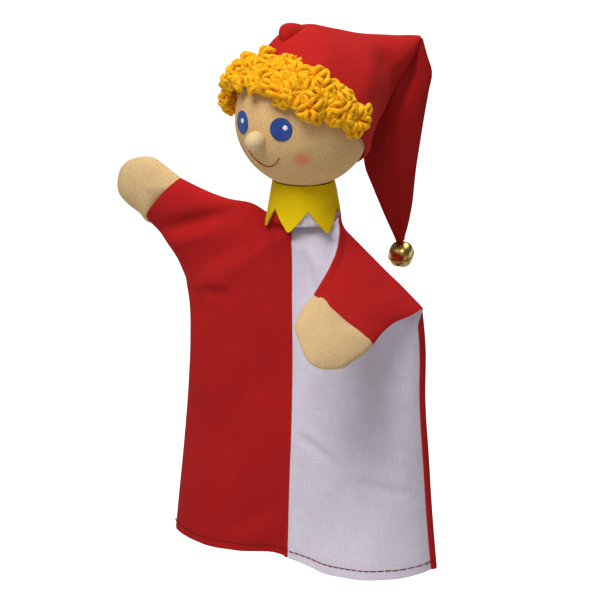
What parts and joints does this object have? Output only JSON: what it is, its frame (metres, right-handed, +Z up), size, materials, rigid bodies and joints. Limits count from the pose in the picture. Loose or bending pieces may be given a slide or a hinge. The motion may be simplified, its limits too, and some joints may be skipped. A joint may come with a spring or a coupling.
{
  "type": "hand puppet",
  "caption": "Glove hand puppet: a clown doll with a cloth body in two colours, mitten hands, a ball head on a finger tube, a felt collar, yarn hair and a long pointed hat with a jingle bell.",
  "frame": {"origin": "centre of the hem opening, in the plane of the hem", "axes": "+Z up through the neck to the hat, the chest faces -Y, the puppet's left hand is on +X"},
  "size_m": [0.1818, 0.123, 0.2813],
  "materials": {
    "red_cotton": "plain woven cotton, matt",
    "white_cotton": "plain woven cotton, matt",
    "beige_knit": "fine knit cotton, matt",
    "sewing_thread": "spun thread",
    "yellow_felt": "pressed wool felt, matt",
    "neck_card": "wound card tube",
    "head_pulp": "pressed paper pulp",
    "eye_felt": "thin blue felt",
    "white_paint": "white paint dot",
    "nose_wood": "turned wood, satin",
    "mouth_thread": "embroidery thread",
    "yellow_yarn": "looped wool yarn",
    "hat_cotton": "plain woven cotton, matt",
    "bell_brass": "stamped brass, a little dull",
    "clapper_steel": "steel ball"
  },
  "bodies": {
    "glove": {"front_right_panel": "red_cotton", "front_left_panel": "white_cotton", "back_right_panel": "red_cotton", "back_left_panel": "red_cotton", "hem_stitching": "sewing_thread"},
    "neck": {"neck_casing": "red_cotton", "neck_tie": "sewing_thread", "collar": "yellow_felt"},
    "head": {"neck_tube": "neck_card", "head_core": "head_pulp", "head_cover": "beige_knit", "nose": "nose_wood", "eye_left": "eye_felt", "eye_right": "eye_felt", "eye_glint_left": "white_paint", "eye_glint_right": "white_paint", "mouth": "mouth_thread", "hair_fringe": "yellow_yarn", "hat_crown": "hat_cotton"},
    "hat_tail": {"hat_tail": "hat_cotton"},
    "bell": {"bell_upper_shell": "bell_brass", "bell_lower_shell": "bell_brass", "bell_loop": "bell_brass"},
    "clapper": {"bell_clapper": "clapper_steel"},
    "right_arm": {"right_sleeve_front": "red_cotton", "right_sleeve_back": "red_cotton"},
    "right_hand": {"right_hand_front": "beige_knit", "right_hand_back": "beige_knit"},
    "left_arm": {"left_sleeve_front": "white_cotton", "left_sleeve_back": "red_cotton"},
    "left_hand": {"left_hand_front": "beige_knit", "left_hand_back": "beige_knit"}
  },
  "joints": [
    {"name": "neck_nod", "type": "hinge", "parent": "glove", "child": "neck", "pos_m": [0, 0, 0.178], "axis": [1, 0, 0], "range_deg": [-15, 15]},
    {"name": "head_turn", "type": "hinge", "parent": "neck", "child": "head", "pos_m": [0, 0, 0.2321], "axis": [0, 0, 1], "range_deg": [-15, 50]},
    {"name": "hat_tail_swing", "type": "hinge", "parent": "head", "child": "hat_tail", "pos_m": [0.04416, 0.04905, 0.257], "axis": [0.7431, -0.6691, 0], "range_deg": [0, 35]},
    {"name": "bell_swing", "type": "hinge", "parent": "hat_tail", "child": "bell", "pos_m": [0.03787, 0.04206, 0.165], "axis": [0.7431, -0.6691, 0], "range_deg": [-35, 35]},
    {"name": "clapper_rattle", "type": "slide", "parent": "bell", "child": "clapper", "axis": [0, 0, 1], "range_m": [0, 0.0076]},
    {"name": "right_arm_fold", "type": "hinge", "parent": "glove", "child": "right_arm", "pos_m": [-0.022, -0.004, 0.178], "axis": [0.7559, 0, 0.6547], "range_deg": [-10, 125]},
    {"name": "right_hand_bend", "type": "hinge", "parent": "right_arm", "child": "right_hand", "pos_m": [-0.08004, 0, 0.18223], "axis": [0.6388, 0, 0.7694], "range_deg": [-30, 30]},
    {"name": "left_arm_fold", "type": "hinge", "parent": "glove", "child": "left_arm", "pos_m": [0.022, -0.004, 0.178], "axis": [0.7559, 0, -0.6547], "range_deg": [-130, 5]},
    {"name": "left_hand_bend", "type": "hinge", "parent": "left_arm", "child": "left_hand", "pos_m": [0.04185, -0.04168, 0.13814], "axis": [0.7992, 0.1414, -0.5842], "range_deg": [-30, 30]}
  ]
}
